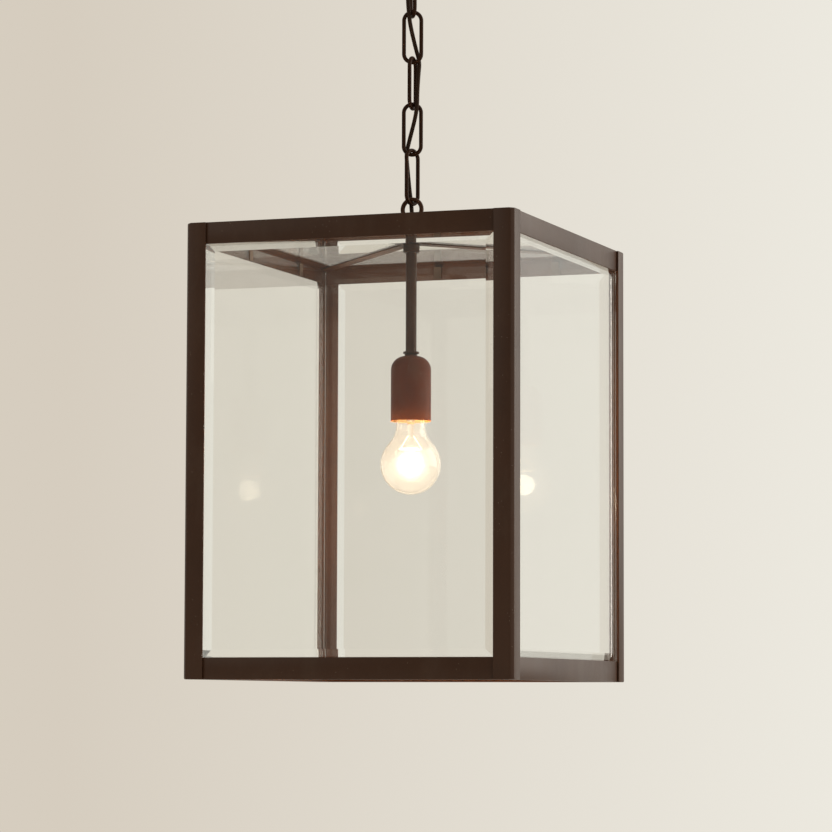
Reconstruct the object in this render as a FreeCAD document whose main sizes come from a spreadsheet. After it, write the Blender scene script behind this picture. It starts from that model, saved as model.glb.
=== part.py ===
import FreeCAD, Part

import math
import os

import Sketcher

# A four-sided glass lantern that hangs from the ceiling on a chain.
# Millimetres, +Z up. The origin is where the axis of the chain meets the ceiling.
# The front of the lantern faces -Y, and its right side faces +X.

SIZES = {
    # Lantern frame
    "hang_drop": 328.0,
    "frame_width": 334.0,
    "frame_depth": 354.0,
    "frame_tall": 440.0,
    "post_leg": 20.2,
    "post_skin": 2.0,
    "post_bend": 3.0,
    "post_top_round": 1.7,
    "rail_tall": 21.0,
    "rail_flange": 16.0,
    "rail_skin": 1.5,
    # Glass
    "pane_thick": 4.8,
    "pane_edge": 1.8,
    "bevel_start": 15.5,
    "bevel_end": 28.7,
    "pane_gap": 0.3,
    "roof_glass_thick": 3.0,
    "side_glass_drop": 8.0,
    "clip_wide": 8.0,
    "clip_long": 12.0,
    "clip_skin": 0.8,
    # Cross under the roof
    "arm_wide": 12.7,
    "arm_thick": 1.5,
    "hub_dia": 16.4,
    "hub_tall": 10.0,
    "washer_dia": 20.0,
    "washer_thick": 1.0,
    # Stem and lampholder
    "thread_dia": 10.0,
    "stem_dia": 10.8,
    "stem_bore": 7.2,
    "locknut_dia": 16.0,
    "locknut_level": 113.6,
    "locknut_tall": 4.5,
    "cup_dia": 40.0,
    "cup_tall": 65.0,
    "cup_skin": 1.0,
    "cup_round": 14.0,
    "holder_dia": 35.0,
    "shell_dia": 27.2,
    "shell_skin": 0.5,
    # Lamp
    "cap_dia": 26.4,
    "cap_level": 149.0,
    "cap_tall": 26.0,
    "globe_dia": 60.0,
    "globe_level": 226.0,
    "globe_skin": 0.8,
    "neck_dia": 29.0,
    # Loops and chain
    "loop_dia": 20.0,
    "loop_wire": 4.4,
    "loop_level": 29.2,
    "loop_neck_dia": 14.5,
    "loop_neck_long": 21.0,
    "link_long": 55.0,
    "last_link_long": 58.0,
    "link_wide": 21.3,
    "link_wire": 4.0,
    "link_gap": 0.3,
    # Ceiling fitting
    "canopy_dia": 130.0,
    "canopy_tall": 25.0,
    "canopy_skin": 1.2,
    "canopy_round": 9.0,
    "bar_long": 100.0,
    "bar_wide": 20.0,
    "bar_thick": 2.5,
    "bar_hole_pitch": 70.0,
    "bar_hole_dia": 4.6,
    # Flex
    "flex_dia": 4.2,
    # Plain working clearance between two pieces of one body
    "fit_gap": 0.05,
}

doc = FreeCAD.newDocument("HangingLantern")
sheet = doc.addObject("Spreadsheet::Sheet", "Sizes")
for row, (alias, number) in enumerate(SIZES.items(), start=1):
    sheet.set(f"A{row}", alias)
    sheet.set(f"B{row}", f"{number:g}")
    sheet.setAlias(f"B{row}", alias)
doc.recompute()

NODES = []


class Size:
    """A length that carries both its number and the sheet formula behind it."""

    def __init__(self, number, formula):
        self.number = number
        self.formula = formula

    def __add__(self, other):
        other = as_size(other)
        return Size(self.number + other.number, f"({self.formula} + {other.formula})")

    def __sub__(self, other):
        other = as_size(other)
        return Size(self.number - other.number, f"({self.formula} - {other.formula})")

    def __rsub__(self, other):
        return as_size(other) - self

    def __mul__(self, factor):
        return Size(self.number * factor, f"({self.formula} * {factor})")

    def __truediv__(self, divisor):
        return Size(self.number / divisor, f"({self.formula} / {divisor})")

    def __neg__(self):
        return self * -1.0

    def __float__(self):
        return self.number

    __radd__ = __add__
    __rmul__ = __mul__


def as_size(value):
    """Give a plain number the form of a Size."""
    if isinstance(value, Size):
        return value
    return Size(float(value), f"({float(value)})")


def size(alias):
    """Read one driving dimension from the sheet."""
    return Size(float(sheet.get(alias)), f"Sizes.{alias}")


def bind(item, prop, value):
    """Set a property and tie it to the sheet."""
    value = as_size(value)
    setattr(item, prop, value.number)
    item.setExpression(prop, value.formula)


def place(item, x=0.0, y=0.0, z=0.0, turn=0.0):
    """Put an object at a place, turned about Z, with the place tied to the sheet."""
    spots = [as_size(value) for value in (x, y, z)]
    turned = FreeCAD.Rotation(FreeCAD.Vector(0, 0, 1), turn)
    item.Placement = FreeCAD.Placement(FreeCAD.Vector(*[spot.number for spot in spots]), turned)
    for axis, spot in zip("xyz", spots):
        item.setExpression(f"Placement.Base.{axis}", spot.formula)
    return item


def keep(item, label):
    """Name a finished sub-part."""
    item.Label = label
    NODES.append(item)
    return item


# ---------------------------------------------------------------- PartDesign helpers


def new_body(label):
    """Start a body with its own origin."""
    body = doc.addObject("PartDesign::Body", label)
    return keep(body, label)


def sketch_on(body, role, name):
    """Attach a new sketch to one of the body's origin planes."""
    plane = next(item for item in body.Origin.OriginFeatures if item.Role == role)
    sketch = body.newObject("Sketcher::SketchObject", f"{body.Name}_{name}")
    sketch.AttachmentSupport = (plane, [""])
    sketch.MapMode = "FlatFace"
    return sketch


def polygon(sketch, corners):
    """Draw a closed outline with every corner held by the sheet."""
    first = sketch.GeometryCount
    count = len(corners)
    spots = [FreeCAD.Vector(float(x), float(y), 0) for x, y in corners]
    for index in range(count):
        sketch.addGeometry(Part.LineSegment(spots[index], spots[(index + 1) % count]), False)
    for index in range(count):
        following = first + (index + 1) % count
        sketch.addConstraint(Sketcher.Constraint("Coincident", first + index, 2, following, 1))
    for index, corner in enumerate(corners):
        for kind, value in zip(("DistanceX", "DistanceY"), corner):
            value = as_size(value)
            rule = Sketcher.Constraint(kind, -1, 1, first + index, 1, value.number)
            number = sketch.addConstraint(rule)
            sketch.setExpression(f"Constraints[{number}]", value.formula)


def circle(sketch, radius, x=0.0, y=0.0):
    """Draw a circle with its centre and radius held by the sheet."""
    centre = FreeCAD.Vector(float(x), float(y), 0)
    edge = sketch.addGeometry(Part.Circle(centre, FreeCAD.Vector(0, 0, 1), float(radius)), False)
    for kind, value in (("DistanceX", x), ("DistanceY", y)):
        value = as_size(value)
        number = sketch.addConstraint(Sketcher.Constraint(kind, -1, 1, edge, 3, value.number))
        sketch.setExpression(f"Constraints[{number}]", value.formula)
    number = sketch.addConstraint(Sketcher.Constraint("Radius", edge, float(radius)))
    sketch.setExpression(f"Constraints[{number}]", as_size(radius).formula)


def pad(body, sketch, length, midplane=False, backwards=False):
    """Extrude a sketch."""
    feature = body.newObject("PartDesign::Pad", f"{sketch.Name}_pad")
    feature.Profile = sketch
    bind(feature, "Length", length)
    feature.Midplane = midplane
    feature.Reversed = backwards
    return feature


def pocket(body, sketch):
    """Cut a sketch right through the body, both ways."""
    feature = body.newObject("PartDesign::Pocket", f"{sketch.Name}_cut")
    feature.Profile = sketch
    feature.Type = 1
    feature.Midplane = True
    return feature


def soften(body, radius, picks):
    """Fillet the body's edges that a test picks out."""
    doc.recompute()
    tip = body.Tip
    names = [f"Edge{index}" for index, edge in enumerate(tip.Shape.Edges, start=1) if picks(edge)]
    feature = body.newObject("PartDesign::Fillet", f"{body.Name}_round")
    feature.Base = (tip, names)
    bind(feature, "Radius", radius)
    return feature


def lathe(label, corners):
    """Turn an outline of (radius, height) corners about Z."""
    body = new_body(label)
    sketch = sketch_on(body, "XZ_Plane", "outline")
    polygon(sketch, corners)
    feature = body.newObject("PartDesign::Revolution", f"{label}_turned")
    feature.Profile = sketch
    feature.ReferenceAxis = (sketch, ["V_Axis"])
    feature.Angle = 360.0
    return body


def is_rim(edge, radius, height):
    """Tell whether an edge is the full circle of a given radius at a given height."""
    middle = edge.BoundBox.Center
    wide = edge.BoundBox.XLength
    return abs(wide - 2 * radius) < 0.01 and abs(middle.z - height) < 0.01 and edge.BoundBox.ZLength < 0.01


# ---------------------------------------------------------------- Part helpers


def box(name, length, width, height, x=0.0, y=0.0, z=0.0):
    """Make a Part box with its low corner at a place."""
    item = doc.addObject("Part::Box", name)
    bind(item, "Length", length)
    bind(item, "Width", width)
    bind(item, "Height", height)
    return place(item, x, y, z)


def cylinder(name, radius, height, x=0.0, y=0.0, z=0.0):
    """Make an upright Part cylinder from a place upwards."""
    item = doc.addObject("Part::Cylinder", name)
    bind(item, "Radius", radius)
    bind(item, "Height", height)
    return place(item, x, y, z)


def joined(kind, name, base, tool):
    """Combine two Part objects with Part::Cut, Part::Fuse or Part::Common."""
    item = doc.addObject(kind, name)
    item.Base = base
    item.Tool = tool
    return item


def solid_of(label, shape):
    """Keep a shape that no primitive or sketch feature makes."""
    item = doc.addObject("Part::Feature", label)
    item.Shape = shape
    return keep(item, label)


# ---------------------------------------------------------------- Levels and half sizes

ROOF = -size("hang_drop")
HALF_WIDE = size("frame_width") / 2
HALF_DEEP = size("frame_depth") / 2
FOOT = ROOF - size("frame_tall")
RAIL_SET_IN = size("post_skin")
WALL_SET_IN = RAIL_SET_IN + size("rail_skin")
# A rail stops this far short of the corner, clear of the bend inside the post
RAIL_NOSE = size("post_bend") - size("post_skin") + 0.9

CORNERS = {
    # corner name: (sign in X, sign in Y, turn of the post)
    "front_left": (-1, -1, 0.0),
    "front_right": (1, -1, 90.0),
    "back_right": (1, 1, 180.0),
    "back_left": (-1, 1, 270.0),
}

SIDES = {
    # side name: (turn, half size along the side, half size across it)
    "front": (0.0, HALF_WIDE, HALF_DEEP),
    "right": (90.0, HALF_DEEP, HALF_WIDE),
    "back": (180.0, HALF_WIDE, HALF_DEEP),
    "left": (270.0, HALF_DEEP, HALF_WIDE),
}


def side_spot(side, set_in):
    """Give the X and Y of the middle of a side, a distance in from its outer plane."""
    across = SIDES[side][2] - set_in
    return {
        "front": (0.0, -across),
        "right": (across, 0.0),
        "back": (0.0, across),
        "left": (-across, 0.0),
    }[side]


# ---------------------------------------------------------------- Frame of the lantern


def make_post(corner):
    """Bent corner angle, the full height of the lantern."""
    sign_x, sign_y, turn = CORNERS[corner]
    leg = size("post_leg")
    skin = size("post_skin")
    bend = size("post_bend")
    inner_bend = skin + bend - skin * (2 - math.sqrt(2))
    body = new_body(f"post_{corner}")
    sketch = sketch_on(body, "XY_Plane", "angle")
    polygon(sketch, [
        (bend, 0.0), (leg, 0.0), (leg, skin), (inner_bend, skin),
        (skin, inner_bend), (skin, leg), (0.0, leg), (0.0, bend),
    ])
    pad(body, sketch, size("frame_tall"))

    def is_bend_end(edge):
        middle = edge.BoundBox.Center
        flat = edge.BoundBox.ZLength < 0.01
        return flat and abs(middle.x - float(bend) / 2) < 0.01 and abs(middle.y - float(bend) / 2) < 0.01

    soften(body, size("post_top_round"), is_bend_end)
    place(body, HALF_WIDE * sign_x, HALF_DEEP * sign_y, FOOT, turn)


def make_rail(side, at_top):
    """Angle rail with mitred ends, tucked inside the posts."""
    turn, half_long, _ = SIDES[side]
    flange = size("rail_flange")
    skin = size("rail_skin")
    up = 1.0 if at_top else -1.0
    half = half_long - RAIL_SET_IN
    name = "top_rail" if at_top else "bottom_rail"
    body = new_body(f"{name}_{side}")
    sketch = sketch_on(body, "YZ_Plane", "angle")
    tall = size("rail_tall")
    polygon(sketch, [
        (0.0, 0.0), (flange, 0.0), (flange, skin * -up),
        (skin, skin * -up), (skin, tall * -up), (0.0, tall * -up),
    ])
    pad(body, sketch, half * 2, midplane=True)
    mitre = sketch_on(body, "XY_Plane", "mitre")
    for end in (-1.0, 1.0):
        nose = (half - RAIL_NOSE) * end
        beyond = (half + 1.0) * end
        polygon(mitre, [
            (beyond, -1.0), (nose, -1.0), (nose, RAIL_NOSE),
            ((half - flange - 1.0) * end, flange + 1.0), (beyond, flange + 1.0),
        ])
    pocket(body, mitre)
    x, y = side_spot(side, RAIL_SET_IN)
    place(body, x, y, ROOF if at_top else FOOT, turn)


for corner_name in CORNERS:
    make_post(corner_name)
for side_name in SIDES:
    make_rail(side_name, at_top=True)
    make_rail(side_name, at_top=False)


# ---------------------------------------------------------------- Glass


def make_side_pane(side):
    """Bevelled pane: a thin margin behind the frame, then a ground bevel up to full thickness."""
    turn, half_long, _ = SIDES[side]
    stop = WALL_SET_IN + size("pane_gap")
    if side in ("left", "right"):
        stop = stop + size("pane_thick") + size("pane_gap")
    half = half_long - stop
    outer = half_long - size("bevel_start")
    inner = half_long - size("bevel_end")
    rise = size("pane_thick") - size("pane_edge")
    tall = size("frame_tall") - size("rail_skin") - size("side_glass_drop")
    top = size("frame_tall") - size("rail_skin")
    crown = doc.addObject("Part::Wedge", f"crown_{side}")
    for prop, value in {
        "Ymin": 0.0, "Ymax": rise,
        "Xmin": -inner, "Xmax": inner,
        "Zmin": size("bevel_end") - size("rail_skin"), "Zmax": top - size("bevel_end"),
        "X2min": -outer, "X2max": outer,
        "Z2min": size("bevel_start") - size("rail_skin"), "Z2max": top - size("bevel_start"),
    }.items():
        bind(crown, prop, value)
    slab = box(f"slab_{side}", half * 2, size("pane_edge"), tall, -half, rise, 0.0)
    pane = keep(joined("Part::Fuse", f"glass_{side}", crown, slab), f"glass_{side}")
    pane.Refine = True
    x, y = side_spot(side, WALL_SET_IN)
    place(pane, x, y, FOOT + size("rail_skin"), turn)


def make_roof_pane():
    """Flat pane between the top flanges and the cross, with a hole for the stem."""
    gap = WALL_SET_IN + 1.0
    body = new_body("glass_roof")
    sketch = sketch_on(body, "XY_Plane", "outline")
    wide = HALF_WIDE - gap
    deep = HALF_DEEP - gap
    polygon(sketch, [(-wide, -deep), (wide, -deep), (wide, deep), (-wide, deep)])
    circle(sketch, size("thread_dia") / 2 + 0.8)
    pad(body, sketch, size("roof_glass_thick"), backwards=True)
    place(body, 0.0, 0.0, ROOF - size("rail_skin"))


def clip_shape():
    """One spring clip: a tongue over the edge of the pane and a tab behind it."""
    wide = float(size("clip_wide"))
    skin = float(size("clip_skin"))
    reach = float(size("pane_thick")) + skin
    tongue = Part.makeBox(wide, reach, skin, FreeCAD.Vector(-wide / 2, 0, 0))
    tab_spot = FreeCAD.Vector(-wide / 2, reach - skin, -float(size("clip_long")))
    tab = Part.makeBox(wide, skin, float(size("clip_long")), tab_spot)
    return tongue.fuse(tab).removeSplitter()


def make_clips():
    """Clips that hold the side panes: two along the top of each side."""
    clip = clip_shape()
    level = float(ROOF - size("side_glass_drop"))
    shapes = []
    for side, (turn, half_long, _) in SIDES.items():
        x, y = [float(value) for value in side_spot(side, WALL_SET_IN)]
        for along in (-0.55, 0.2):
            copy = clip.copy()
            copy.translate(FreeCAD.Vector(along * float(half_long), 0, 0))
            copy.rotate(FreeCAD.Vector(0, 0, 0), FreeCAD.Vector(0, 0, 1), turn)
            copy.translate(FreeCAD.Vector(x, y, level))
            shapes.append(copy)
    solid_of("glass_clips", Part.makeCompound(shapes))


for side_name in SIDES:
    make_side_pane(side_name)
make_roof_pane()
make_clips()


# ---------------------------------------------------------------- Cross, hub and stem

CROSS_TOP = ROOF - size("rail_skin") - size("roof_glass_thick")


INNER_WIDE = HALF_WIDE - WALL_SET_IN
INNER_DEEP = HALF_DEEP - WALL_SET_IN


def diagonal_bar(name, sign_x, sign_y, back):
    """Flat bar along a diagonal of the roof, from a distance behind the centre outwards."""
    wide = size("arm_wide")
    low = CROSS_TOP - size("arm_thick")
    bar = box(name, INNER_WIDE + INNER_DEEP + back, wide, size("arm_thick"))
    heading = math.degrees(math.atan2(sign_y * float(INNER_DEEP), sign_x * float(INNER_WIDE)))
    turned = FreeCAD.Rotation(FreeCAD.Vector(0, 0, 1), heading)
    start = turned.multVec(FreeCAD.Vector(-float(back), -float(wide) / 2, 0))
    for axis in "xy":
        bar.setExpression(f"Placement.Base.{axis}", None)
    bar.Placement = FreeCAD.Placement(start + FreeCAD.Vector(0, 0, float(low)), turned)
    bar.setExpression("Placement.Base.z", low.formula)
    return bar


def make_arm(corner):
    """Flat bar from the hub to one corner, cut to fit the corner and the hub."""
    sign_x, sign_y, _ = CORNERS[corner]
    thick = size("arm_thick")
    low = CROSS_TOP - thick
    bar = diagonal_bar(f"bar_{corner}", sign_x, sign_y, back=0.0)
    if sign_x != sign_y:
        bar = joined("Part::Cut", f"butted_{corner}", bar, through_bar)
    plan = box(f"plan_{corner}", INNER_WIDE * 2, INNER_DEEP * 2, thick, -INNER_WIDE, -INNER_DEEP, low)
    fitted = joined("Part::Common", f"fitted_{corner}", bar, plan)
    core = cylinder(f"core_{corner}", size("hub_dia") / 2, thick * 3, 0.0, 0.0, low - thick)
    keep(joined("Part::Cut", f"roof_arm_{corner}", fitted, core), f"roof_arm_{corner}")


# The arms of one diagonal run up to the hub, and the other two butt against their sides
through_bar = diagonal_bar("through_bar", 1, 1, back=60.0)
for corner_name in CORNERS:
    make_arm(corner_name)

thread = size("thread_dia") / 2
bore = size("stem_bore") / 2
hub_low = CROSS_TOP - size("hub_tall")
lathe("hub_boss", [
    (thread + size("fit_gap"), hub_low), (size("hub_dia") / 2 - 0.8, hub_low),
    (size("hub_dia") / 2, hub_low + 0.8), (size("hub_dia") / 2, CROSS_TOP),
    (thread + size("fit_gap"), CROSS_TOP),
])

washer_low = ROOF - size("rail_skin")
washer_top = washer_low + size("washer_thick")
lathe("loop_washer", [
    (thread + size("fit_gap"), washer_low), (size("washer_dia") / 2, washer_low),
    (size("washer_dia") / 2, washer_top), (thread + size("fit_gap"), washer_top),
])

nut_top = ROOF - size("locknut_level")
nut_low = nut_top - size("locknut_tall")
stem = size("stem_dia") / 2
stem_foot = nut_low - 8.0
lathe("stem_tube", [
    (bore, stem_foot), (thread, stem_foot), (thread, nut_top), (stem, nut_top),
    (stem, hub_low), (thread, hub_low), (thread, ROOF + 12.0), (bore, ROOF + 12.0),
])

nut = size("locknut_dia") / 2
waist = size("locknut_tall") * 0.45
lathe("holder_locknut", [
    (thread + size("fit_gap"), nut_low), (nut - 1.7, nut_low), (nut - 1.7, nut_low + waist),
    (nut - 0.4, nut_low + waist + 0.3), (nut, nut_low + waist + 0.8), (nut, nut_top - 0.4),
    (nut - 0.5, nut_top), (thread + size("fit_gap"), nut_top),
])


# ---------------------------------------------------------------- Lampholder

cup = size("cup_dia") / 2
cup_top = nut_low
cup_low = cup_top - size("cup_tall")
cup_inner = cup - size("cup_skin")
cup_ceiling = cup_top - size("cup_skin")
holder_cup = lathe("holder_cup", [
    (thread + size("fit_gap"), cup_top), (cup, cup_top), (cup, cup_low),
    (cup_inner, cup_low), (cup_inner, cup_ceiling), (thread + size("fit_gap"), cup_ceiling),
])
soften(holder_cup, size("cup_round"), lambda edge: is_rim(edge, float(cup), float(cup_top)))
soften(holder_cup, size("cup_round") - size("cup_skin"),
       lambda edge: is_rim(edge, float(cup_inner), float(cup_ceiling)))

cap_top = ROOF - size("cap_level")
cap_low = cap_top - size("cap_tall")
shell = size("shell_dia") / 2
shell_outer = shell + size("shell_skin")
holder = size("holder_dia") / 2
floor_low = cap_top + 3.0
holder_low = cup_low + 10.5
lathe("lampholder_body", [
    (thread + size("fit_gap"), cup_ceiling - 2.0), (thread + 3.0, cup_ceiling - 2.0),
    (thread + 3.0, cup_ceiling - 14.0), (holder, cup_ceiling - 14.0), (holder, holder_low),
    (shell_outer + size("fit_gap"), holder_low), (shell_outer + size("fit_gap"), floor_low),
    (1.8, floor_low), (1.8, floor_low + 4.0), (thread + size("fit_gap"), floor_low + 8.0),
])
lathe("lampholder_shell", [
    (shell, holder_low + 1.0), (shell_outer, holder_low + 1.0), (shell_outer, floor_low),
    (shell - 4.0, floor_low), (shell - 4.0, floor_low - size("shell_skin")),
    (shell, floor_low - size("shell_skin")),
])


def make_contact():
    """Centre contact of the lampholder: a rivet with a bowed spring leaf."""
    top = float(floor_low)
    tip = float(cap_top) + 0.4
    rivet = Part.makeCylinder(1.7, 4.0, FreeCAD.Vector(0, 0, top - 0.5))
    skin = 0.4
    foot = FreeCAD.Vector(-5.0, 0, top - 0.5)
    crown = FreeCAD.Vector(0, 0, tip)
    rise = FreeCAD.Vector(5.0, 0, top - 1.2)
    up = FreeCAD.Vector(0, 0, skin)
    outer = Part.Arc(foot, crown, rise).toShape()
    inner = Part.Arc(foot + up, crown + up, rise + up).toShape()
    ends = [Part.makeLine(foot, foot + up), Part.makeLine(rise, rise + up)]
    face = Part.Face(Part.Wire(Part.__sortEdges__([outer, inner] + ends)))
    leaf = face.extrude(FreeCAD.Vector(0, 5.0, 0))
    leaf.translate(FreeCAD.Vector(0, -2.5, 0))
    solid_of("lampholder_contact", Part.makeCompound([rivet.cut(leaf), leaf]))


make_contact()


# ---------------------------------------------------------------- Lamp

cap = size("cap_dia") / 2
lathe("bulb_cap", [
    (cap, cap_low), (cap, cap_top - 3.6), (cap - 4.4, cap_top - 1.4),
    (cap - 4.9, cap_top - 1.8), (cap - 0.5, cap_top - 4.0), (cap - 0.5, cap_low),
])
lathe("bulb_contact", [
    (0.0, cap_top - 3.4), (cap - 5.6, cap_top - 2.2), (cap - 5.0, cap_top - 1.2),
    (4.6, cap_top - 0.6), (3.8, cap_top), (0.0, cap_top),
])


def globe_outline(inset):
    """Half outline of the glass envelope, set in by a skin: globe, shoulder and neck."""
    radius = float(size("globe_dia")) / 2 - inset
    centre = float(ROOF - size("globe_level"))
    neck = float(size("neck_dia")) / 2 - inset
    in_cap = float(size("cap_dia")) / 2 - 0.7 - inset
    lean = math.radians(38.0)
    leave = FreeCAD.Vector(radius * math.cos(lean), 0, centre + radius * math.sin(lean))
    pole = FreeCAD.Vector(0, 0, centre - radius)
    side = FreeCAD.Vector(radius * math.cos(lean / 4), 0, centre - radius * math.sin(lean / 4))
    bend = 24.0 + inset
    shoulder_x = neck + bend
    shoulder_z = shoulder_level(leave, lean, shoulder_x, bend)
    enter = FreeCAD.Vector(shoulder_x - bend * math.cos(lean), 0, shoulder_z - bend * math.sin(lean))
    middle = FreeCAD.Vector(shoulder_x - bend * math.cos(lean / 2), 0,
                            shoulder_z - bend * math.sin(lean / 2))
    throat = FreeCAD.Vector(neck, 0, shoulder_z)
    collar_low = FreeCAD.Vector(neck, 0, float(cap_low) - 3.0)
    collar_top = FreeCAD.Vector(in_cap, 0, float(cap_low) - 0.2)
    top = FreeCAD.Vector(in_cap, 0, float(cap_low) + 2.0)
    return [
        Part.Arc(pole, side, leave).toShape(),
        Part.makeLine(leave, enter),
        Part.Arc(enter, middle, throat).toShape(),
        Part.makeLine(throat, collar_low),
        Part.makeLine(collar_low, collar_top),
        Part.makeLine(collar_top, top),
    ], top


def shoulder_level(leave, lean, shoulder_x, bend):
    """Height of the shoulder arc's centre, so that the flank is tangent at both ends."""
    run = leave.x - (shoulder_x - bend * math.cos(lean))
    return leave.z + run / math.tan(lean) + bend * math.sin(lean)


def make_globe():
    """Clear glass envelope, a thin closed shell open only at the cap."""
    skin = float(size("globe_skin"))
    outer, outer_top = globe_outline(0.0)
    inner, inner_top = globe_outline(skin)
    poles = [edges[0].Vertexes[0].Point for edges in (outer, inner)]
    rim = Part.makeLine(outer_top, inner_top)
    axis = Part.makeLine(poles[0], poles[1])
    wire = Part.Wire(Part.__sortEdges__(outer + inner + [rim, axis]))
    turned = Part.Face(wire).revolve(FreeCAD.Vector(0, 0, 0), FreeCAD.Vector(0, 0, 1), 360)
    solid_of("bulb_glass", turned)


make_globe()

mount_top = cap_low + 1.0
lathe("bulb_mount", [
    (0.0, mount_top), (10.5, mount_top), (10.2, mount_top - 1.2), (3.6, mount_top - 9.0),
    (2.4, mount_top - 26.0), (1.6, mount_top - 30.0), (0.0, mount_top - 30.0),
])


def make_filament():
    """Two leads and a hoop of filament round the mount."""
    top = float(mount_top) - 24.0
    level = top - 12.0
    shapes = []
    reach = 11.0
    for side in (-1.0, 1.0):
        start = FreeCAD.Vector(side * 2.8, 0, top)
        end = FreeCAD.Vector(side * reach, 0, level)
        run = end - start
        shapes.append(Part.makeCylinder(0.35, run.Length, start, run))
    hoop = Part.makeTorus(reach, 0.6, FreeCAD.Vector(0, 0, level - 0.6), FreeCAD.Vector(0, 0, 1), 0, 360, 300)
    hoop.rotate(FreeCAD.Vector(0, 0, 0), FreeCAD.Vector(0, 0, 1), 30.0)
    shapes.append(hoop)
    solid_of("bulb_filament", Part.makeCompound(shapes))


make_filament()


# ---------------------------------------------------------------- Loops

LOOP_NECK_TOP = ROOF + size("loop_level") - size("loop_dia") / 2


def make_loop(label, flip):
    """Cast loop: a ring on a hollow threaded neck, built at the origin with the ring up."""
    wire = size("loop_wire") / 2
    ring_level = size("loop_level")
    ring = doc.addObject("Part::Torus", f"{label}_ring")
    bind(ring, "Radius1", size("loop_dia") / 2)
    bind(ring, "Radius2", wire)
    ring.Placement = FreeCAD.Placement(
        FreeCAD.Vector(0, 0, float(ring_level)), FreeCAD.Rotation(FreeCAD.Vector(1, 0, 0), 90))
    ring.setExpression("Placement.Base.z", ring_level.formula)
    neck_low = washer_top - ROOF
    neck = cylinder(f"{label}_neck", size("loop_neck_dia") / 2, size("loop_neck_long"), 0, 0, neck_low)
    blank = joined("Part::Fuse", f"{label}_blank", ring, neck)
    thread_hole = cylinder(f"{label}_thread", thread + size("fit_gap"), 13.0 - neck_low, 0, 0, neck_low)
    mouth = cylinder(f"{label}_mouth", bore, 12.0, 0, 0, 12.0)
    holes = joined("Part::Fuse", f"{label}_holes", thread_hole, mouth)
    loop = keep(joined("Part::Cut", label, blank, holes), label)
    if flip:
        level = loop_seat
        loop.Placement = FreeCAD.Placement(
            FreeCAD.Vector(0, 0, float(level)), FreeCAD.Rotation(FreeCAD.Vector(1, 0, 0), 180))
        loop.setExpression("Placement.Base.z", level.formula)
    else:
        place(loop, 0.0, 0.0, ROOF)


# The chain is stacked up from the lantern's own loop: each link's foot passes under the
# wire that it carries, with a small gap, so the ceiling loop's height follows from it.
link_wire = size("link_wire")
link_gap = size("link_gap")
ring_top_inside = ROOF + size("loop_level") + size("loop_dia") / 2 - size("loop_wire") / 2
LINKS = []
foot_centre = ring_top_inside - link_gap - link_wire / 2
link_sizes = [size("last_link_long")] + [size("link_long")] * 4
link_turns = [70.0, 14.0, 90.0, 20.0, -56.0]
for index, (link_long, link_turn) in enumerate(zip(link_sizes, link_turns)):
    crown_centre = foot_centre + link_long - link_wire
    LINKS.append((5 - index, link_turn, link_long, foot_centre, crown_centre))
    foot_centre = crown_centre - link_wire - link_gap
ceiling_ring_foot = crown_centre - link_wire / 2 - link_gap - size("loop_wire") / 2
loop_seat = ceiling_ring_foot + size("loop_dia") / 2 + size("loop_level")

make_loop("lantern_loop", flip=False)
make_loop("ceiling_loop", flip=True)


# ---------------------------------------------------------------- Chain


def make_link(number, turn, long, foot):
    """Welded oval link: two straight legs and two half rings."""
    bend = (size("link_wide") - link_wire) / 2
    radius = link_wire / 2
    straight = long - link_wire - bend * 2
    low = foot + bend
    pieces = []
    for side in (-1.0, 1.0):
        pieces.append(cylinder(f"leg_{number}_{len(pieces)}", radius, straight, bend * side, 0, low))
    for level, start in ((low, 180.0), (low + straight, 0.0)):
        arch = doc.addObject("Part::Torus", f"arch_{number}_{len(pieces)}")
        bind(arch, "Radius1", bend)
        bind(arch, "Radius2", radius)
        arch.Angle3 = 180.0
        upright = FreeCAD.Rotation(FreeCAD.Vector(1, 0, 0), 90)
        spun = FreeCAD.Rotation(FreeCAD.Vector(0, 0, 1), start)
        arch.Placement = FreeCAD.Placement(FreeCAD.Vector(0, 0, float(level)), upright.multiply(spun))
        arch.setExpression("Placement.Base.z", level.formula)
        pieces.append(arch)
    link = doc.addObject("Part::MultiFuse", f"chain_link_{number}")
    link.Shapes = pieces
    keep(link, f"chain_link_{number}")
    link.Placement = FreeCAD.Placement(
        FreeCAD.Vector(0, 0, 0), FreeCAD.Rotation(FreeCAD.Vector(0, 0, 1), turn))


for link_number, link_turn, link_long, link_foot, _ in LINKS:
    make_link(link_number, link_turn, link_long, link_foot)


# ---------------------------------------------------------------- Ceiling fitting

canopy = size("canopy_dia") / 2
canopy_inner = canopy - size("canopy_skin")
canopy_low = -size("canopy_tall")
canopy_floor = canopy_low + size("canopy_skin")
neck_pass = size("loop_neck_dia") / 2 + 0.3
ceiling_canopy = lathe("ceiling_canopy", [
    (neck_pass, canopy_low), (canopy, canopy_low), (canopy, 0.0),
    (canopy_inner, 0.0), (canopy_inner, canopy_floor), (neck_pass, canopy_floor),
])
soften(ceiling_canopy, size("canopy_round"), lambda edge: is_rim(edge, float(canopy), float(canopy_low)))
soften(ceiling_canopy, size("canopy_round") - size("canopy_skin"),
       lambda edge: is_rim(edge, float(canopy_inner), float(canopy_floor)))

collar = size("loop_neck_dia") / 2 + size("fit_gap")
lathe("loop_collar", [
    (collar, canopy_low - 6.5), (collar + 3.2, canopy_low - 6.5), (collar + 5.2, canopy_low - 4.5),
    (collar + 5.2, canopy_low - 1.5), (collar + 4.2, canopy_low), (collar, canopy_low),
])


EARTH_X = -20.0
EARTH_SHANK = 2.0


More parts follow.
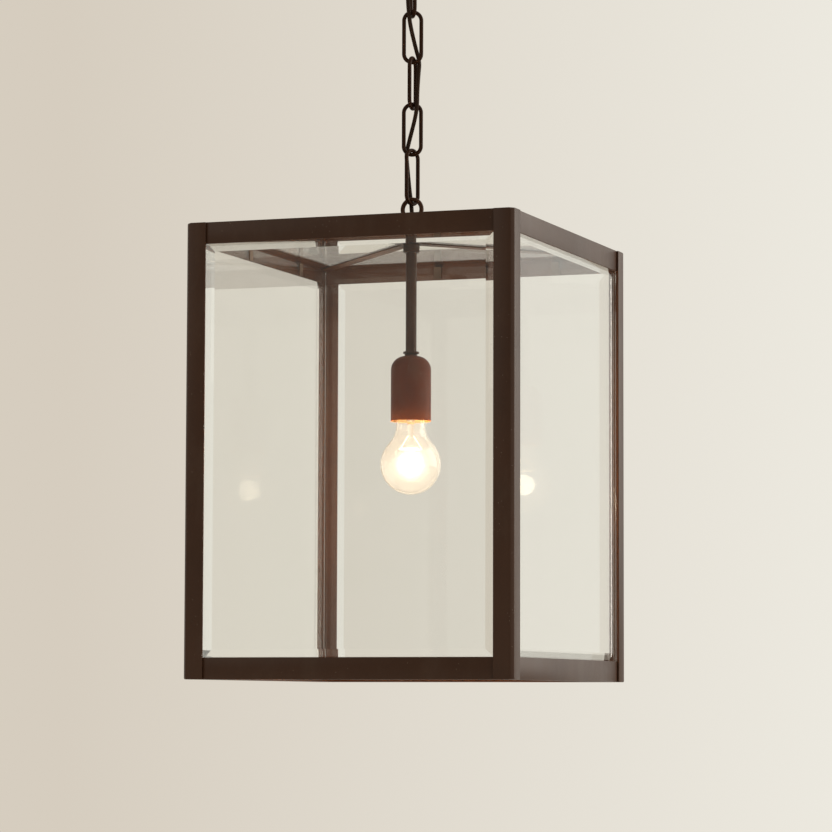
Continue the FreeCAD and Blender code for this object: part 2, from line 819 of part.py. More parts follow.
def make_crossbar():
    """Flat bar across the ceiling, with holes for the nipple, two ceiling bolts and the earth screw."""
    body = new_body("ceiling_crossbar")
    sketch = sketch_on(body, "XY_Plane", "outline")
    half_long = size("bar_long") / 2
    half_wide = size("bar_wide") / 2
    polygon(sketch, [
        (-half_long, -half_wide), (half_long, -half_wide), (half_long, half_wide), (-half_long, half_wide),
    ])
    circle(sketch, thread + size("fit_gap"))
    for side in (-1.0, 1.0):
        circle(sketch, size("bar_hole_dia") / 2, size("bar_hole_pitch") / 2 * side)
    circle(sketch, EARTH_SHANK + size("fit_gap"), EARTH_X)
    pad(body, sketch, size("bar_thick"), backwards=True)


make_crossbar()

bar_low = -size("bar_thick")


def turned_solid(outline, x, z):
    """Turn a plain outline about an upright axis through (x, 0)."""
    spots = [FreeCAD.Vector(radius, 0, height) for radius, height in outline]
    face = Part.Face(Part.makePolygon(spots + spots[:1]))
    shape = face.revolve(FreeCAD.Vector(0, 0, 0), FreeCAD.Vector(0, 0, 1), 360)
    shape.translate(FreeCAD.Vector(x, 0, z))
    return shape


# A round-headed earth screw, head down: radius and height above its seat
EARTH_SCREW = [(0.0, -2.2), (2.6, -1.8), (3.2, 0.0), (EARTH_SHANK, 0.0), (EARTH_SHANK, 4.0), (0.0, 4.0)]
solid_of("earth_screw", turned_solid(EARTH_SCREW, EARTH_X, float(bar_low)))

nipple_low = loop_seat - 12.0
lathe("ceiling_nipple", [(bore, nipple_low), (thread, nipple_low), (thread, 6.0), (bore, 6.0)])

hex_nut = doc.addObject("Part::Prism", "hex_nut")
hex_nut.Polygon = 6
bind(hex_nut, "Circumradius", size("thread_dia") * 0.95)
bind(hex_nut, "Height", size("thread_dia") * 0.5)
place(hex_nut, 0.0, 0.0, bar_low - size("thread_dia") * 0.5)
nut_hole_low = bar_low - size("thread_dia") * 0.75
nut_hole = cylinder("nut_hole", thread + size("fit_gap"), size("thread_dia"), 0, 0, nut_hole_low)
keep(joined("Part::Cut", "nipple_nut", hex_nut, nut_hole), "nipple_nut")


# ---------------------------------------------------------------- Flex

# Route of the flex, by hand: across the view, towards the viewer, and height above the
# lantern's roof. It comes out of the ceiling loop, weaves down the chain and goes into
# the lantern's loop. The view's own directions are turned from the frame's by VIEW_TURN.
VIEW_TURN = math.radians(20.0)
ROUTE = [
    (0.0, 0.0, 350.0),
    (0.0, 0.0, 287.5),
    (-3.2, 2.6, 280.5),
    (-5.0, 5.4, 271.5),
    (-5.2, 3.4, 260.0),
    (-4.8, 2.6, 240.0),
    (-4.0, 5.4, 228.5),
    (-2.6, 3.2, 215.5),
    (3.2, -3.0, 192.0),
    (7.1, -5.2, 179.0),
    (6.0, -2.4, 167.5),
    (4.8, 2.4, 146.5),
    (4.8, 5.8, 134.0),
    (3.0, 3.6, 121.5),
    (-3.2, -3.6, 98.5),
    (-6.2, -6.0, 86.0),
    (-5.0, -4.4, 74.0),
    (-2.8, -6.0, 50.0),
    (-1.2, -6.8, 38.5),
    (-0.6, -5.2, 31.0),
    (0.0, 0.0, 21.5),
    (0.0, 0.0, -118.0),
]
# Runs at whose middle one span of the flex ends and the next begins, one in each link
CUT_RUNS = [4, 7, 10, 13, 16]
NECK_CUTS = (300.0, 12.0)


def route_point(across, near, height):
    """Turn a route point into the lantern's own frame."""
    x = across * math.cos(VIEW_TURN) + near * math.sin(VIEW_TURN)
    y = across * math.sin(VIEW_TURN) - near * math.cos(VIEW_TURN)
    return FreeCAD.Vector(x, y, height + float(ROOF))


def rounded_path(points):
    """Straight runs joined by tangent arcs, each as large as its two runs allow."""
    edges = []
    start = points[0]
    for before, corner, after in zip(points, points[1:], points[2:]):
        run_in = corner - before
        run_out = after - corner
        turn = run_in.getAngle(run_out)
        shorter = min(run_in.Length, run_out.Length)
        cut = 0.45 * shorter
        radius = cut / math.tan(turn / 2)
        print(f"flex bend radius {radius:.1f}")
        into = FreeCAD.Vector(run_in).normalize()
        out = FreeCAD.Vector(run_out).normalize()
        enter = corner - into * cut
        leave = corner + out * cut
        inward = (out - into).normalize()
        middle = corner + inward * (radius / math.cos(turn / 2) - radius)
        edges.append(Part.makeLine(start, enter))
        edges.append(Part.Arc(enter, middle, leave).toShape())
        start = leave
    edges.append(Part.makeLine(start, points[-1]))
    return Part.Wire(edges)


def flex_span(label, points):
    """One stretch of the flex as a plain round tube."""
    path = rounded_path(points)
    radius = float(size("flex_dia")) / 2
    heading = points[1] - points[0]
    section = Part.Wire(Part.makeCircle(radius, points[0], heading))
    tube = path.makePipeShell([section], True, False)
    expected = math.pi * radius ** 2 * path.Length
    print(f"{label}: volume {tube.Volume:.1f}, section times length {expected:.1f}")
    solid_of(label, tube)


route = [route_point(*spot) for spot in ROUTE]
cuts = [(route[run] + route[run + 1]) * 0.5 for run in CUT_RUNS]
ends = [route_point(0.0, 0.0, NECK_CUTS[0])] + cuts + [route_point(0.0, 0.0, NECK_CUTS[1])]
firsts = [0] + CUT_RUNS
lasts = CUT_RUNS + [len(route) - 2]
flex_radius = float(size("flex_dia")) / 2
for number, (first, last) in enumerate(zip(firsts, lasts), start=1):
    flex_span(f"flex_span_{number}", [ends[number - 1]] + route[first + 1:last + 1] + [ends[number]])
for label, high, low in (("flex_tail", route[0], ends[0]), ("flex_stem", ends[-1], route[-1])):
    solid_of(label, Part.makeCylinder(flex_radius, high.z - low.z, low))


# ---------------------------------------------------------------- Check and write

doc.recompute()
for item in doc.Objects:
    if "Invalid" in item.State or "Error" in item.State:
        raise RuntimeError(f"{item.Label} failed: {item.State}")
for item in NODES:
    if item.Shape.isNull() or not item.Shape.isValid():
        raise RuntimeError(f"{item.Label} has no valid shape")
os.makedirs("parts", exist_ok=True)
for item in NODES:
    item.Shape.exportStep(f"parts/{item.Label}.step")
    print(f"{item.Label}: {len(item.Shape.Solids)} solid(s), {item.Shape.Volume:.0f} mm3")
print(f"{len(NODES)} nodes, ceiling loop seat at {float(loop_seat):.2f}")
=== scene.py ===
"""Looks of a bronze hanging lantern with bevelled glass sides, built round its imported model."""

import logging
import math
from dataclasses import dataclass, field
from enum import Enum
from typing import Any, Iterable, Sequence

import bmesh
import bpy
from mathutils import Matrix, Vector


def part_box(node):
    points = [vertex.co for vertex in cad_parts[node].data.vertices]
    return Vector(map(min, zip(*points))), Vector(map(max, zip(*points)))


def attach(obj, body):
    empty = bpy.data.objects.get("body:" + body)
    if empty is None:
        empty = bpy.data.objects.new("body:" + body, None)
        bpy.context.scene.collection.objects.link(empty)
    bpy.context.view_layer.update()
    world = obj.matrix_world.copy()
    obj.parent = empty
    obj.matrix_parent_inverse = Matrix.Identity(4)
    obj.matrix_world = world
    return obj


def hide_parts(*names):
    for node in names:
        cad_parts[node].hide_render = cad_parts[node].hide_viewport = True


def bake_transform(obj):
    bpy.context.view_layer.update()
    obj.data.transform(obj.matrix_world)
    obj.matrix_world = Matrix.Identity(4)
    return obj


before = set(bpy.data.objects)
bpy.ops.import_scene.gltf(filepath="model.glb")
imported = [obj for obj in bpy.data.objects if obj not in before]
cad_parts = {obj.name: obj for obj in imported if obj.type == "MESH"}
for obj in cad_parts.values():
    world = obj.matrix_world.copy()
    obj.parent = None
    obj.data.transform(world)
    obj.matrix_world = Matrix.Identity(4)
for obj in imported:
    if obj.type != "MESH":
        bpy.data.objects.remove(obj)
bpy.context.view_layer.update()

log = logging.getLogger("lantern")

Triple = tuple[float, float, float]
Colour = Triple
MM = 0.001
WELD_GAP = 2e-6
FLAT_ANGLE = math.radians(1.0)
EDGE_ANGLE = math.radians(35.0)
EDGE_STEPS = 2
SMOOTH_ANGLE = math.radians(40.0)


# ---------------------------------------------------------------- Shader graph


class Signal:
    """A socket's output, on which Python's arithmetic adds Math nodes."""

    def __init__(self, graph: "Graph", socket: bpy.types.NodeSocket) -> None:
        """Wrap one output socket of a graph."""
        self.graph = graph
        self.socket = socket

    def _math(self, operation: str, first: Any, second: Any) -> "Signal":
        """Add a Math node that combines two numbers or signals."""
        node = self.graph.node("ShaderNodeMath", {"operation": operation}, {0: first, 1: second})
        return Signal(self.graph, node.outputs[0])

    def __add__(self, other: Any) -> "Signal":
        """Sum with a number or signal."""
        return self._math("ADD", self, other)

    def __sub__(self, other: Any) -> "Signal":
        """Difference from a number or signal."""
        return self._math("SUBTRACT", self, other)

    def __rsub__(self, other: Any) -> "Signal":
        """A number less this signal."""
        return self._math("SUBTRACT", other, self)

    def __mul__(self, other: Any) -> "Signal":
        """Product with a number or signal."""
        return self._math("MULTIPLY", self, other)

    def __gt__(self, other: Any) -> "Signal":
        """One where this signal is above the other, else nought."""
        return self._math("GREATER_THAN", self, other)

    def __lt__(self, other: Any) -> "Signal":
        """One where this signal is below the other, else nought."""
        return self._math("LESS_THAN", self, other)

    def highest(self, other: Any) -> "Signal":
        """The larger of this signal and another."""
        return self._math("MAXIMUM", self, other)

    def sine(self) -> "Signal":
        """Sine of this signal, in radians."""
        return self._math("SINE", self, 0.0)


class Graph:
    """The node tree of a material or a world, with one way to add any node."""

    def __init__(self, owner: bpy.types.Material | bpy.types.World) -> None:
        """Empty an owner's node tree.

        Args:
            owner: the material or world that the tree belongs to.
        """
        owner.use_nodes = True
        self.owner = owner
        self.tree = owner.node_tree
        self.tree.nodes.clear()

    @classmethod
    def of_material(cls, name: str) -> "Graph":
        """Start a new material's graph."""
        return cls(bpy.data.materials.new(name))

    def node(
        self, kind: str, settings: dict[str, Any] | None = None, sockets: dict[Any, Any] | None = None
    ) -> bpy.types.Node:
        """Add a node, choose its settings, then fill its sockets.

        Args:
            kind: the node's type name.
            settings: attributes such as an operation.
            sockets: input name or number to a value, a Signal or an output socket.

        Returns:
            The new node.
        """
        made = self.tree.nodes.new(kind)
        for key, value in (settings or {}).items():
            setattr(made, key, value)
        for key, value in (sockets or {}).items():
            if isinstance(value, Signal):
                value = value.socket
            if isinstance(value, bpy.types.NodeSocket):
                self.tree.links.new(value, made.inputs[key])
            else:
                made.inputs[key].default_value = value
        return made

    def place(self, stretch: Triple = (1.0, 1.0, 1.0)) -> bpy.types.NodeSocket:
        """Object coordinates, stretched along each axis.

        Args:
            stretch: factor on each axis.

        Returns:
            The vector socket.
        """
        where = self.node("ShaderNodeTexCoord").outputs["Object"]
        if stretch == (1.0, 1.0, 1.0):
            return where
        mapping = self.node("ShaderNodeMapping", {}, {"Vector": where, "Scale": stretch})
        return mapping.outputs["Vector"]

    def noise(self, scale: float, detail: float = 3.0, rough: float = 0.5, where: Any = None) -> Signal:
        """Noise over the object, from nought to one.

        Args:
            scale: cells in a metre.
            detail: how many finer layers are added.
            rough: weight of the finer layers.
            where: a vector socket, or object coordinates if none.

        Returns:
            The noise as a signal.
        """
        sockets = {"Vector": where or self.place(), "Scale": scale, "Detail": detail, "Roughness": rough}
        return Signal(self, self.node("ShaderNodeTexNoise", {}, sockets).outputs[0])

    def cells(self, scale: float) -> Signal:
        """Distance to the nearest of many scattered points."""
        sockets = {"Vector": self.place(), "Scale": scale}
        return Signal(self, self.node("ShaderNodeTexVoronoi", {}, sockets).outputs["Distance"])

    def axes(self, vector: bpy.types.NodeSocket) -> tuple[Signal, ...]:
        """Split a vector into its three parts."""
        parts = self.node("ShaderNodeSeparateXYZ", {}, {0: vector}).outputs
        return tuple(Signal(self, part) for part in parts)

    def between(
        self, signal: Signal, low: float, high: float, out: tuple[float, float] = (0.0, 1.0)
    ) -> Signal:
        """Spread a signal's range over another, held at both ends."""
        sockets = {"Value": signal, "From Min": low, "From Max": high, "To Min": out[0], "To Max": out[1]}
        return Signal(self, self.node("ShaderNodeMapRange", {"clamp": True}, sockets).outputs[0])

    def blend(self, share: Any, first: Any, second: Any) -> bpy.types.NodeSocket:
        """Mix two colours.

        Args:
            share: weight of the second colour.
            first: colour or colour socket.
            second: colour or colour socket.

        Returns:
            The mixed colour socket.
        """
        mix = self.node("ShaderNodeMix", {"data_type": "RGBA"}, {"Factor": share})
        for index, colour in ((6, first), (7, second)):
            if isinstance(colour, bpy.types.NodeSocket):
                self.tree.links.new(colour, mix.inputs[index])
            else:
                mix.inputs[index].default_value = (*colour, 1.0)
        return mix.outputs[2]

    def bump(self, height: Signal, depth: float, strength: float = 1.0) -> bpy.types.NodeSocket:
        """A normal bent by a height signal.

        Args:
            height: the relief, from nought to one.
            depth: how far one unit of relief stands out, in metres.
            strength: share of the bend that shows.

        Returns:
            The normal socket.
        """
        sockets = {"Height": height, "Distance": depth, "Strength": strength}
        return self.node("ShaderNodeBump", {}, sockets).outputs["Normal"]

    def principled(self, sockets: dict[Any, Any]) -> bpy.types.NodeSocket:
        """Add the one surface shader that most finishes need."""
        return self.node("ShaderNodeBsdfPrincipled", {}, sockets).outputs[0]

    def lets_lamps_through(self, shader: bpy.types.NodeSocket, tint: Colour) -> bpy.types.NodeSocket:
        """Let light from lamps pass straight through a glass shader.

        Args:
            shader: the glass's own shader.
            tint: colour of the light that passes.

        Returns:
            The mixed shader socket.
        """
        clear = self.node("ShaderNodeBsdfTransparent", {}, {"Color": (*tint, 1.0)}).outputs[0]
        shadow = self.node("ShaderNodeLightPath").outputs["Is Shadow Ray"]
        return self.node("ShaderNodeMixShader", {}, {0: shadow, 1: shader, 2: clear}).outputs[0]

    def done(self, shader: bpy.types.NodeSocket) -> bpy.types.Material:
        """Join a shader to the output and return the material."""
        self.node("ShaderNodeOutputMaterial", {}, {"Surface": shader})
        return self.owner


# ---------------------------------------------------------------- Finishes


@dataclass(frozen=True)
class SatinPaint:
    """Dark bronze paint, baked on: a satin film with a fine peel and a little dust."""

    slot: str
    deep: Colour
    warm: Colour
    gloss_low: float = 0.30
    gloss_high: float = 0.44
    peel: float = 1.0
    dust: float = 1.0
    shine: float = 0.25
    dust_tone: Colour = (0.16, 0.125, 0.095)
    speck_tone: Colour = (0.42, 0.36, 0.29)

    def special(self, graph: Graph, colour: bpy.types.NodeSocket) -> dict[str, Any]:
        """Sockets that a special kind of this paint sets over the plain ones."""
        return {}

    def build(self) -> bpy.types.Material:
        """Make the paint's material."""
        graph = Graph.of_material(f"paint_{self.slot}")
        cloud = graph.noise(14.0, 4.0, 0.55)
        grain = graph.noise(900.0, 2.0, 0.6)
        peel = graph.noise(1500.0, 2.0, 0.5)
        smear = graph.noise(38.0, 5.0, 0.65, graph.place((1.0, 1.0, 0.35)))
        tone = graph.between(cloud * 0.7 + grain * 0.3, 0.34, 0.66)
        film = graph.blend(tone, self.deep, self.warm)
        speck_near = graph.between(graph.cells(260.0), 0.055, 0.095, (1.0, 0.0))
        speck_some = graph.noise(60.0, 1.0) > 0.56
        specks = speck_near * speck_some * (0.45 * self.dust)
        veil = graph.between(smear, 0.52, 0.8, (0.0, 0.10 * self.dust))
        colour = graph.blend(veil, film, self.dust_tone)
        colour = graph.blend(specks, colour, self.speck_tone)
        rough = graph.between(smear * 0.6 + grain * 0.4, 0.3, 0.7, (self.gloss_low, self.gloss_high))
        relief = peel * 0.5 + graph.noise(420.0, 1.0) * 0.5
        return graph.done(graph.principled({
            "Base Color": colour,
            "Roughness": rough + specks * 0.5,
            "Specular IOR Level": self.shine,
            "IOR": 1.5,
            "Normal": graph.bump(relief, 0.00005 * self.peel, 0.6),
            **self.special(graph, colour),
        }))


@dataclass(frozen=True)
class CupPaint(SatinPaint):
    """Bronze paint on a cup that is bare metal inside, with a painted glow of lamp light on its outside
    near the lip.
    """

    lip: float = 0.0
    bore: float = 0.0
    bare_depth: float = 25.5 * MM
    bare_tone: Colour = (0.62, 0.40, 0.16)
    # How far up from the lip the painted glow of lamp light reaches, and its colour
    painted_glow_depth: float = 22.0 * MM
    painted_glow_tone: Colour = (0.26, 0.050, 0.008)

    def special(self, graph: Graph, colour: bpy.types.NodeSocket) -> dict[str, Any]:
        """Bare the cup's inside and paint a warm glow of lamp light on its outside near the lip."""
        east, north, height = graph.axes(graph.place())
        below_dome = height < self.lip + self.bare_depth
        inside = ((east * east + north * north) < self.bore ** 2) * below_dome
        # Painted glow of lamp light: strongest at the lip, fading upwards, broken into flecks by noise
        near_lip = graph.between(height, self.lip, self.lip + self.painted_glow_depth, (1.0, 0.0))
        painted_glow_flecks = graph.between(graph.noise(950.0, 2.0), 0.44, 0.62, (0.2, 1.0))
        share = near_lip * near_lip * painted_glow_flecks * (1.0 - inside)
        return {
            "Base Color": graph.blend(inside, colour, self.bare_tone),
            "Emission Color": graph.blend(share, (0.0, 0.0, 0.0), self.painted_glow_tone),
            "Emission Strength": 1.0,
        }


@dataclass(frozen=True)
class PlatedMetal:
    """Bare or plated metal with fine drawing marks."""

    slot: str
    tone: Colour
    stain: Colour
    rough: float = 0.28
    along: Triple = (1.0, 1.0, 0.05)

    def build(self) -> bpy.types.Material:
        """Make the metal's material."""
        graph = Graph.of_material(f"metal_{self.slot}")
        marks = graph.noise(2600.0, 2.0, 0.5, graph.place(self.along))
        cloud = graph.noise(90.0, 4.0, 0.6)
        colour = graph.blend(graph.between(cloud, 0.45, 0.75, (0.0, 0.6)), self.tone, self.stain)
        rough = graph.between(marks * 0.5 + cloud * 0.5, 0.3, 0.7, (self.rough - 0.08, self.rough + 0.14))
        return graph.done(graph.principled({
            "Base Color": colour,
            "Metallic": 1.0,
            "Roughness": rough,
            "Normal": graph.bump(marks, 0.00002, 0.5),
        }))


@dataclass(frozen=True)
class PaneGlass:
    """Float glass with ground bevels: faintly green, with a very slight wave and smears."""

    slot: str
    body: Colour = (0.985, 0.990, 0.975)
    smeared: Colour = (0.965, 0.975, 0.955)
    shadow: Colour = (0.94, 0.95, 0.93)

    def build(self) -> bpy.types.Material:
        """Make the pane's material."""
        graph = Graph.of_material(f"glass_{self.slot}")
        wave = graph.noise(9.0, 1.0, 0.4)
        smear = graph.noise(22.0, 4.0, 0.6)
        tint = graph.blend(graph.between(smear, 0.45, 0.8, (0.0, 0.5)), self.body, self.smeared)
        glass = graph.principled({
            "Base Color": tint,
            "Transmission Weight": 1.0,
            "IOR": 1.51,
            "Roughness": graph.between(smear, 0.55, 0.8, (0.0, 0.02)),
            "Normal": graph.bump(wave, 0.00012, 0.35),
        })
        return graph.done(graph.lets_lamps_through(glass, self.shadow))


@dataclass(frozen=True)
class LampGlass:
    """The lamp's thin blown glass: clear, with a misted bloom inside its round part and a painted glow of
    lamp light over its walls.
    """

    slot: str
    globe_top: float
    neck_low: float
    bloom: float = 0.085
    neck_share: float = 0.15
    bloom_rough: float = 0.9
    # Strengths and colour of the painted glow of lamp light on the clear and the misted glass
    clear_painted_glow: float = 0.070
    misted_painted_glow: float = 0.20
    painted_glow_tint: Colour = (1.0, 0.68, 0.40)
    shadow: Colour = (0.98, 0.97, 0.95)

    def blown(
        self, graph: Graph, tint: bpy.types.NodeSocket, rough: float, glow: float
    ) -> bpy.types.NodeSocket:
        """Blown glass of one roughness, with a little painted glow of lamp light on it.

        Args:
            graph: the material's graph.
            tint: colour socket of the glass.
            rough: its roughness.
            glow: strength of the painted glow of lamp light on the glass.

        Returns:
            The shader socket.
        """
        return graph.principled({
            "Base Color": tint,
            "Transmission Weight": 1.0,
            "IOR": 1.45,
            "Roughness": rough,
            # Painted glow of lamp light on the glass walls
            "Emission Color": (*self.painted_glow_tint, 1.0),
            "Emission Strength": glow,
        })

    def build(self) -> bpy.types.Material:
        """Make the lamp glass's material."""
        graph = Graph.of_material(f"glass_{self.slot}")
        height = graph.axes(graph.place())[2]
        bloom_range = (self.bloom, self.bloom * self.neck_share)
        share = graph.between(height, self.globe_top, self.neck_low, bloom_range)
        tint = graph.blend(graph.noise(160.0, 3.0), (0.975, 0.965, 0.95), (1.0, 0.995, 0.985))
        clear = self.blown(graph, tint, 0.0, self.clear_painted_glow)
        misted = self.blown(graph, tint, self.bloom_rough, self.misted_painted_glow)
        wall = graph.node("ShaderNodeMixShader", {}, {0: share, 1: clear, 2: misted}).outputs[0]
        return graph.done(graph.lets_lamps_through(wall, self.shadow))


@dataclass(frozen=True)
class GlowingWire:
    """A lit filament, brighter along some of its coils."""

    slot: str
    glow: Colour
    power: float

    def build(self) -> bpy.types.Material:
        """Make the glowing wire's material."""
        graph = Graph.of_material(f"glow_{self.slot}")
        coils = graph.noise(700.0, 2.0)
        hot = graph.blend(coils, self.glow, (1.0, 0.82, 0.58))
        return graph.done(graph.principled({
            "Base Color": (0.30, 0.26, 0.22, 1.0),
            "Roughness": 0.4,
            "Metallic": 1.0,
            "Emission Color": hot,
            "Emission Strength": self.power,
        }))


@dataclass(frozen=True)
class Moulded:
    """Moulded plastic or rubber with a fine pitted skin."""

    slot: str
    tone: Colour
    rough: float

    def build(self) -> bpy.types.Material:
        """Make the moulded material."""
        graph = Graph.of_material(f"moulded_{self.slot}")
        pits = graph.noise(1800.0, 3.0, 0.6)
        cloud = graph.noise(60.0, 3.0)
        worn = tuple(min(1.0, part * 1.5 + 0.015) for part in self.tone)
        rough = graph.between(pits, 0.3, 0.7, (self.rough - 0.06, self.rough + 0.1))
        return graph.done(graph.principled({
            "Base Color": graph.blend(graph.between(cloud, 0.4, 0.7), self.tone, worn),
            "Roughness": rough,
            "Normal": graph.bump(pits, 0.00005, 0.6),
        }))


@dataclass(frozen=True)
class Braid:
    """Braided cotton sleeve: two sets of threads that cross, following the flex's own UV map."""

    slot: str
    dark: Colour
    light: Colour
    turns: float = 8.0
    sheen: Colour = (0.6, 0.42, 0.30)

    def build(self) -> bpy.types.Material:
        """Make the braid's material."""
        graph = Graph.of_material(f"braid_{self.slot}")
        place = graph.node("ShaderNodeUVMap", {"uv_map": "sleeve"}).outputs[0]
        lengthwise, crosswise, _ = graph.axes(place)
        along = lengthwise * (2.0 * math.pi)
        round_it = crosswise * (2.0 * math.pi * self.turns)
        left = (along + round_it).sine() * 0.5 + 0.5
        right = (along - round_it).sine() * 0.5 + 0.5
        threads = left.highest(right)
        fuzz = graph.noise(3500.0, 2.0, 0.7)
        shade = graph.between(threads * 0.8 + fuzz * 0.2, 0.45, 0.95)
        return graph.done(graph.principled({
            "Base Color": graph.blend(shade, self.dark, self.light),
            "Roughness": graph.between(fuzz, 0.3, 0.7, (0.72, 0.92)),
            "Specular IOR Level": 0.15,
            "Sheen Weight": 0.06,
            "Sheen Roughness": 0.45,
            "Sheen Tint": (*self.sheen, 1.0),
            "Normal": graph.bump(threads, 0.00025, 0.9),
        }))


# ---------------------------------------------------------------- Working on pieces


def deselect() -> None:
    """Leave object mode's selection empty."""
    bpy.ops.object.select_all(action="DESELECT")


def make_active(piece: bpy.types.Object) -> None:
    """Select one piece alone and make it active."""
    deselect()
    piece.select_set(True)
    bpy.context.view_layer.objects.active = piece


def dress(piece: bpy.types.Object, material: bpy.types.Material) -> None:
    """Give a piece one material all over."""
    piece.data.materials.clear()
    piece.data.materials.append(material)
    for face in piece.data.polygons:
        face.material_index = 0


def apply_modifier(piece: bpy.types.Object, kind: str, **settings: Any) -> None:
    """Add a modifier, set it and apply it.

    Args:
        piece: the mesh object to change.
        kind: the modifier's type.
        settings: the modifier's attributes.
    """
    make_active(piece)
    modifier = piece.modifiers.new(kind.lower(), kind)
    for key, value in settings.items():
        setattr(modifier, key, value)
    bpy.ops.object.modifier_apply(modifier=modifier.name)


def merged_copy(node: str, name: str) -> bpy.types.Object:
    """Copy a CAD node's mesh, with its loose triangles joined and its flat faces made whole.

    Args:
        node: the CAD node.
        name: the new piece's name.

    Returns:
        The new mesh object, at the origin.
    """
    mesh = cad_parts[node].data.copy()
    mesh.name = name
    piece = bpy.data.objects.new(name, mesh)
    bpy.context.scene.collection.objects.link(piece)
    shape = bmesh.new()
    shape.from_mesh(mesh)
    bmesh.ops.remove_doubles(shape, verts=shape.verts, dist=WELD_GAP)
    bmesh.ops.dissolve_limit(
        shape, angle_limit=FLAT_ANGLE, verts=shape.verts, edges=shape.edges
    )
    shape.to_mesh(mesh)
    shape.free()
    return piece


@dataclass
class SubAssembly:
    """Common work on one group of pieces."""

    finishes: dict[str, bpy.types.Material]
    made: list[str] = field(default_factory=list)

    def finish_of(self, slot: str) -> bpy.types.Material:
        """The material of one of the record's slots."""
        return self.finishes[slot]

    def dress_node(self, node: str, slot: str) -> None:
        """Give a CAD node its finish where it stands.

        Args:
            node: the CAD node.
            slot: the material slot.
        """
        dress(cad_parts[node], self.finish_of(slot))
        self.made.append(node)

    def stand_in(self, piece: bpy.types.Object, node: str, slot: str) -> None:
        """Dress a piece and let it stand for a CAD node.

        Args:
            piece: the new piece.
            node: the CAD node that it replaces.
            slot: the material slot.
        """
        dress(piece, self.finish_of(slot))
        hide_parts(node)
        self.made.append(piece.name)

    def soften_node(self, node: str, slot: str, body: str, width: float) -> None:
        """Stand a copy with rounded edges in a CAD node's place.

        Args:
            node: the CAD node.
            slot: the material slot.
            body: the body that it rides on.
            width: how far each edge is rounded, in metres.
        """
        piece = merged_copy(node, f"{node}_edged")
        apply_modifier(
            piece, "BEVEL", width=width, segments=EDGE_STEPS, limit_method="ANGLE",
            angle_limit=EDGE_ANGLE, use_clamp_overlap=True, harden_normals=False,
        )
        make_active(piece)
        bpy.ops.object.shade_smooth_by_angle(angle=SMOOTH_ANGLE)
        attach(piece, body)
        self.stand_in(piece, node, slot)

    def report(self) -> None:
        """Log each piece that this sub-assembly made or dressed."""
        for name in self.made:
            log.info("%s: %s", type(self).__name__, name)


# ---------------------------------------------------------------- The lantern

CORNERS = ("front_left", "front_right", "back_right", "back_left")
SIDES = ("front", "right", "back", "left")


@dataclass
class LanternFrame(SubAssembly):
    """Posts, rails and roof arms, each with the small round that a folded and filed edge has."""

    post_round: float = 0.45 * MM
    rail_round: float = 0.35 * MM
    arm_round: float = 0.30 * MM

    def build(self) -> None:
        """Round and paint the frame."""
        for corner in CORNERS:
            self.soften_node(f"post_{corner}", "bronze_frame", "lantern", self.post_round)
            self.soften_node(f"roof_arm_{corner}", "bronze_frame", "lantern", self.arm_round)
        for side in SIDES:
            for place in ("top", "bottom"):
                self.soften_node(f"{place}_rail_{side}", "bronze_frame", "lantern", self.rail_round)
        for node in ("hub_boss", "lantern_loop"):
            self.dress_node(node, "bronze_fittings")
        self.dress_node("loop_washer", "washer_rubber")


@dataclass
class Glazing(SubAssembly):
    """The four bevelled side panes, the roof pane and its clips."""

    def build(self) -> None:
        """Give the panes their glass and the clips their steel."""
        for side in SIDES:
            self.dress_node(f"glass_{side}", "clear_glass")
        self.dress_node("glass_roof", "clear_glass")
        self.dress_node("glass_clips", "spring_steel")


@dataclass
class LampHolder(SubAssembly):
    """The stem, the cup and what is inside it."""

    def build(self) -> None:
        """Dress the holder's pieces."""
        self.dress_node("stem_tube", "bronze_fittings")
        self.dress_node("holder_locknut", "bronze_fittings")
        self.dress_node("holder_cup", "holder_metal")
        self.dress_node("lampholder_body", "phenolic")
        self.dress_node("lampholder_shell", "brass")
        self.dress_node("lampholder_contact", "brass")


class Role(Enum):
    """What one of the lamp's lights is for."""

    SEEN = "seen through the glass"
    MIRRORED = "mirrored in panes and metal"
    LIGHTS = "lights what is round it"


